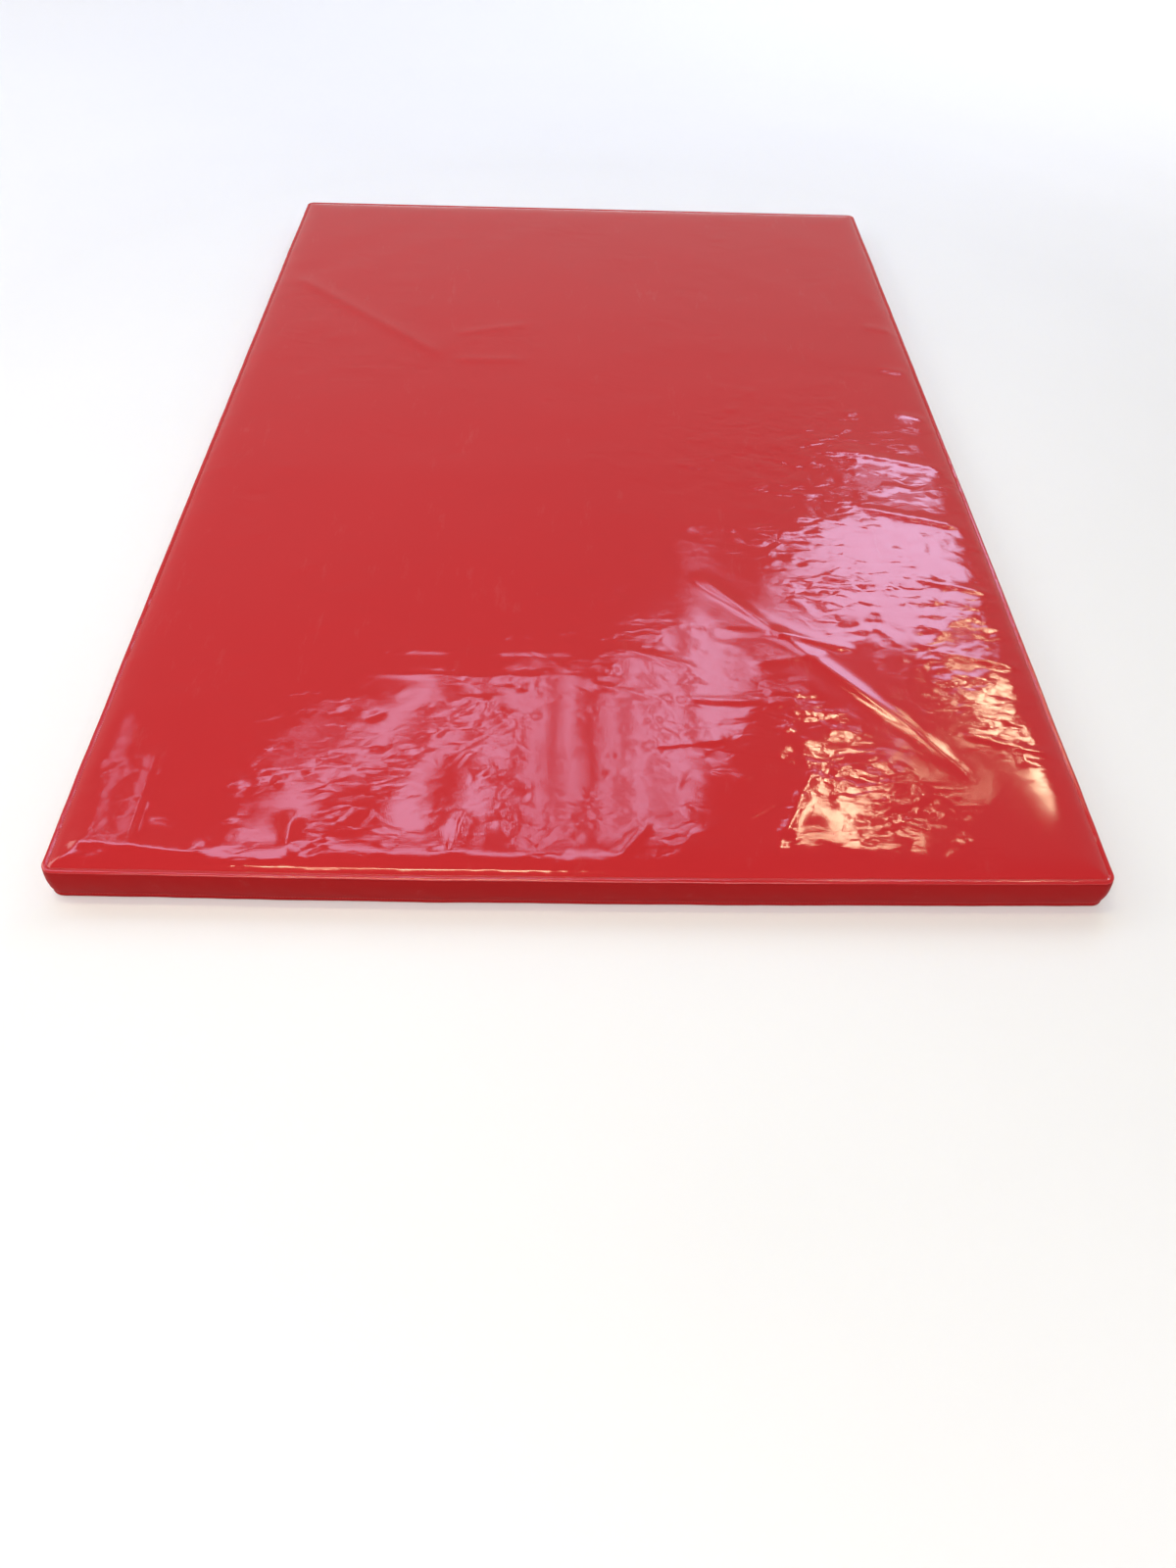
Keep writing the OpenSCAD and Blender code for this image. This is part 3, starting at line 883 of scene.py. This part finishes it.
def coil(name, node, side):
    """One half of a coil zip: a nylon loop every 1.5 mm, each with a wider head in the chain's middle."""
    low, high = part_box(node)
    near = 0.4  # the heads reach past the half's own edge, where they mesh
    first_z = low.z / MM - near if side > 0 else high.z / MM + near
    last_z = high.z / MM if side > 0 else low.z / MM
    base_y, rise = TAPE_Y + 0.35, (high.y - low.y) / MM - 0.75
    # each point's way along the loop, rise and radius
    loop = [
        (0.0, 0.05, 0.30), (0.06, 0.75, 0.44), (0.16, 1.0, 0.50), (0.45, 0.92, 0.34),
        (0.85, 0.72, 0.33), (1.0, 0.3, 0.33), (0.96, 0.0, 0.30),
    ]
    sides, count = 6, int((high.x - low.x) / MM / COIL_PITCH)
    turn = np.arange(sides) * 2 * math.pi / sides
    line = np.array([(base_y + rise * h, first_z + (last_z - first_z) * t) for t, h, _ in loop])
    way = np.gradient(line, axis=0)
    way /= np.linalg.norm(way, axis=1)[:, None]
    out = np.stack([-way[:, 1], way[:, 0]], 1)
    one = np.empty((len(loop), sides, 3))
    for i, (_, _, r) in enumerate(loop):
        one[i, :, 0] = np.cos(turn) * r
        one[i, :, 1:] = line[i] + out[i] * (np.sin(turn) * r)[:, None]
    start = low.x / MM + (0.4 if side > 0 else 0.4 + COIL_PITCH / 2)
    p = np.repeat(one.reshape(1, -1, 3), count, axis=0)
    p[..., 0] += (start + COIL_PITCH * np.arange(count))[:, None]
    k = np.arange(one.shape[0] * sides).reshape(len(loop), sides)
    nxt = np.roll(k, -1, axis=1)
    quads = np.stack([k[:-1], nxt[:-1], nxt[1:], k[1:]], -1).reshape(-1, 4).tolist()
    quads += [k[0][::-1].tolist(), k[-1].tolist()]
    faces = [[v + i * k.size for v in f] for i in range(count) for f in quads]
    return tidy(make(name, p.reshape(-1, 3), faces, NYLON, replaces=[node], slot="zip_coil"), 1e-7)


coil("zip_teeth_upper", "zip_coil_upper", 1)
coil("zip_teeth_lower", "zip_coil_lower", -1)


def softened(name, node, material, width, segments=3):
    """A copy of a hard CAD piece with its edges rounded off as a cast or pressed piece has them."""
    source = frame["nodes"][node]
    bm = bmesh.new()
    bm.from_mesh(source.data)
    bmesh.ops.remove_doubles(bm, verts=bm.verts, dist=1e-6)
    bmesh.ops.dissolve_limit(bm, angle_limit=math.radians(1), verts=bm.verts, edges=bm.edges)
    sharp = [e for e in bm.edges if len(e.link_faces) == 2 and e.calc_face_angle() > math.radians(35)]
    bmesh.ops.bevel(
        bm, geom=sharp, offset=width * MM, segments=segments, profile=0.5, affect="EDGES", clamp_overlap=True
    )
    mesh = bpy.data.meshes.new(name)
    bm.to_mesh(mesh)
    bm.free()
    mesh.polygons.foreach_set("use_smooth", [True] * len(mesh.polygons))
    mesh.materials.append(material)
    obj = bpy.data.objects.new(name, mesh)
    bpy.context.scene.collection.objects.link(obj)
    return finish_piece(obj, source["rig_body"], [node])


softened("zip_slider_cast", "zip_slider", STEEL, 0.28)
softened("zip_pull_tab_cast", "zip_pull_tab", STEEL, 0.3)
softened("zip_top_stops_pressed", "zip_top_stops", STEEL, 0.5)
softened("zip_bottom_stop_pressed", "zip_bottom_stop", STEEL, 0.5)
for node in ("zip_tape_upper", "zip_tape_lower"):
    mesh = frame["nodes"][node].data
    mesh.materials.clear()
    mesh.materials.append(TAPE)

# ---------------------------------------------------------------- floor and light

corners = [(-9000, -6000, 0), (9000, -6000, 0), (9000, 12000, 0), (-9000, 12000, 0)]
floor = make("floor", corners, [[0, 1, 2, 3]], painted_floor("pale_floor", (0.88, 0.88, 0.88)))
floor.parent = None

world = bpy.data.worlds.new("studio")
bpy.context.scene.world = world
world.use_nodes = True
nodes, links = world.node_tree.nodes, world.node_tree.links
way = nodes.new("ShaderNodeTexCoord")
split = nodes.new("ShaderNodeSeparateXYZ")
links.new(way.outputs["Generated"], split.inputs[0])
# the sky is bright at the horizon, where the floor runs into it, and dark overhead; each ramp goes from one
# height to another and from one strength to another, and the brighter one counts
brighter = nodes.new("ShaderNodeMath")
brighter.operation = "MAXIMUM"
for n, ramp in enumerate(((0.25, 0.85, 0.62, 0.08), (0.02, 0.5, 1.0, 0.0))):
    fade = nodes.new("ShaderNodeMapRange")
    links.new(split.outputs["Z"], fade.inputs["Value"])
    for socket, value in zip(("From Min", "From Max", "To Min", "To Max"), ramp):
        fade.inputs[socket].default_value = value
    links.new(fade.outputs[0], brighter.inputs[n])
links.new(brighter.outputs[0], nodes["Background"].inputs["Strength"])
nodes["Background"].inputs["Color"].default_value = (1.0, 0.98, 0.97, 1)
bpy.context.scene.view_settings.view_transform = "Standard"

COOL, WARM, PLAIN = (0.56, 0.66, 1.0), (1.0, 0.91, 0.57), (1.0, 0.97, 0.94)
CEILING = 3.0


def panel_light(name, at, size, radiance, color, turn=0.0, aim=None):
    """A flat light that faces down, or towards aim. radiance is how bright its face looks."""
    data = bpy.data.lights.new(name, "AREA")
    data.shape = "RECTANGLE"
    data.size, data.size_y = size
    data.energy = radiance * math.pi * size[0] * size[1]
    data.color = color
    obj = bpy.data.objects.new(name, data)
    bpy.context.scene.collection.objects.link(obj)
    obj.location = at
    obj.rotation_euler = (0, 0, turn)
    if aim:
        obj.rotation_euler = (Vector(aim) - Vector(at)).to_track_quat("-Z", "Y").to_euler()
    return obj


def ceiling_over(x, y):
    """The ceiling point that the camera sees mirrored at a point of the mat's top, both in metres."""
    eye = camera.matrix_world.translation
    top = MAT_H * MM
    grow = (CEILING - top + eye.z - top) / (eye.z - top)
    return eye.x + (x - eye.x) * grow, eye.y + (y - eye.y) * grow, grow


def strip(name, start, end, width, radiance, color):
    """A ceiling light whose mirror image on the mat runs from start to end, in millimetres."""
    (ax, ay, grow), (bx, by, _) = (ceiling_over(p[0] * MM, p[1] * MM) for p in (start, end))
    size = math.hypot(bx - ax, by - ay), width * MM * grow
    at = (ax + bx) / 2, (ay + by) / 2, CEILING
    return panel_light(name, at, size, radiance, color, turn=math.atan2(by - ay, bx - ax))


# Ceiling lights, told by where their reflections lie: two ends and width, on the mat, and strength
COOL_STRIPS = [
    ((-390, -900), (-340, -810), 36, 6), ((-350, -820), (-190, -620), 36, 6),
    ((-390, -760), (-320, -670), 12, 5),
    ((-200, -900), (-200, -790), 50, 6), ((-210, -800), (-130, -640), 28, 6),
    ((-130, -900), (-110, -740), 34, 6), ((-110, -750), (-80, -610), 20, 6),
    *(((x, -900), (x, -590), 17, 6) for x in (-60, -20, 30)),
    ((70, -900), (70, -520), 20, 6.5), ((110, -850), (110, -480), 24, 6.5),
    ((160, -740), (160, -440), 28, 6.5), ((190, -690), (190, -480), 24, 6.5),
    ((220, -640), (220, -540), 14, 6),
    (*RIDGE, 8, 12),
    ((330, -470), (540, -200), 90, 6.9), ((400, -500), (600, -290), 110, 6.9),
    ((460, -290), (600, -150), 90, 6.9),
    ((450, -490), (600, -420), 60, 6.9), ((280, -430), (490, -160), 40, 6), ((420, -110), (600, -20), 22, 6),
    ((-640, -880), (-470, -880), 30, 6), ((-600, -820), (-600, -690), 12, 6),
    ((-650, -1000), (-330, -1000), 110, 5.5), ((-330, -960), (60, -960), 50, 5.5),
]
WARM_STRIPS = [
    (*RIDGE_TAIL, 5, 32), ((300, -730), (300, -860), 20, 25), ((340, -750), (370, -800), 20, 21),
    ((240, -870), (390, -880), 14, 23), ((490, -550), (600, -590), 16, 23),
    ((500, -640), (600, -620), 32, 25), ((550, -690), (590, -790), 34, 25),
]
for color, strips, word in ((COOL, COOL_STRIPS, "skylight"), (WARM, WARM_STRIPS, "lamp")):
    for n, (start, end, width, radiance) in enumerate(strips):
        strip(f"{word}_{n + 1}", start, end, width, radiance, color)
panel_light("lamp_overhead", (-0.65, -0.32, CEILING), (1.2, 0.22), 18.0, WARM)
panel_light("softbox", (-0.4, -3.0, 3.6), (3.6, 2.4), 4.6, PLAIN, aim=(0, 0.4, 0))
panel_light("fill", (-3.6, 0.2, 2.6), (2.4, 1.6), 3.0, PLAIN, aim=(0, 0, 0))
